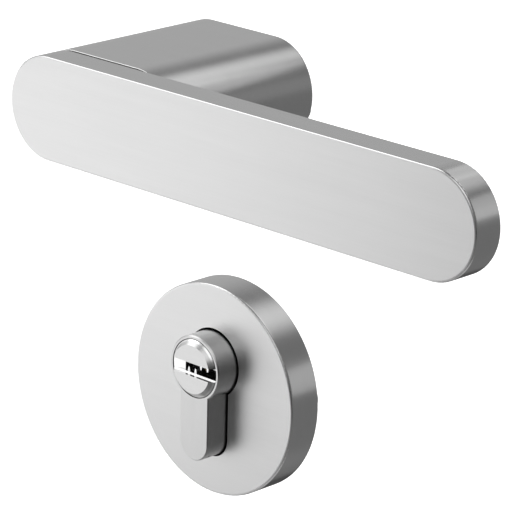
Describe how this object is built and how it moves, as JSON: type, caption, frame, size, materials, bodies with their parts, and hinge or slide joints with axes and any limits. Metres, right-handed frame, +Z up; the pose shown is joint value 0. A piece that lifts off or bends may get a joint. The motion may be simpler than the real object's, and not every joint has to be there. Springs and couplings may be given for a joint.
{
  "type": "lever handle lockset",
  "caption": "Flat blade door lever on a hollow neck with a sprung bearing base, above a round key rose with a euro profile cylinder whose plug and cam turn.",
  "frame": {"origin": "spindle axis on the door face, midway between the two fixing bolts of the lever's base", "axes": "+X towards the lever tip, +Y into the door along the spindle, +Z up"},
  "size_m": [0.1502, 0.0703, 0.1196],
  "materials": {
    "satin_steel": "fine satin brushed",
    "satin_nickel": "satin nickel plated",
    "bright_nickel": "lapped bright nickel",
    "plated_steel": "zinc plated",
    "cast_zinc": "die cast, tumbled",
    "black_screw": "black oxide",
    "spring_steel": "drawn wire",
    "bronze": "sintered bronze",
    "pin_brass": "turned",
    "nylon": "moulded nylon",
    "hard_steel": "hardened and ground"
  },
  "bodies": {
    "mounting": {"fixing_base": "cast_zinc", "bearing_bush": "bronze", "stop_pin": "hard_steel", "return_spring": "spring_steel", "rose_cover": "satin_steel", "rose_carrier": "cast_zinc", "cylinder_body": "satin_nickel", "driver_pins": "pin_brass", "pin_springs": "spring_steel", "chamber_caps": "pin_brass", "hardened_pins": "hard_steel"},
    "lever": {"lever_blade": "satin_steel", "lever_neck": "satin_steel", "blade_screws": "black_screw", "drive_hub": "cast_zinc", "grub_screw": "black_screw", "spindle": "plated_steel", "stop_plate": "plated_steel", "plate_screws": "black_screw", "hub_circlip": "spring_steel", "glide_ring": "nylon"},
    "plug": {"cylinder_plug": "bright_nickel", "key_pins": "pin_brass", "plug_circlip": "spring_steel", "cam_clutch": "hard_steel", "cylinder_cam": "hard_steel"}
  },
  "joints": [
    {"name": "lever_turn", "type": "hinge", "parent": "mounting", "child": "lever", "pos_m": [0, 0, 0], "axis": [0, 1, 0], "range_deg": [0, 45], "stiffness_Nm_per_rad": 0.8, "springref_deg": -28.65, "deforming": ["return_spring"]},
    {"name": "plug_turn", "type": "hinge", "parent": "mounting", "child": "plug", "pos_m": [0, 0, -0.072], "axis": [0, -1, 0], "continuous": true}
  ]
}
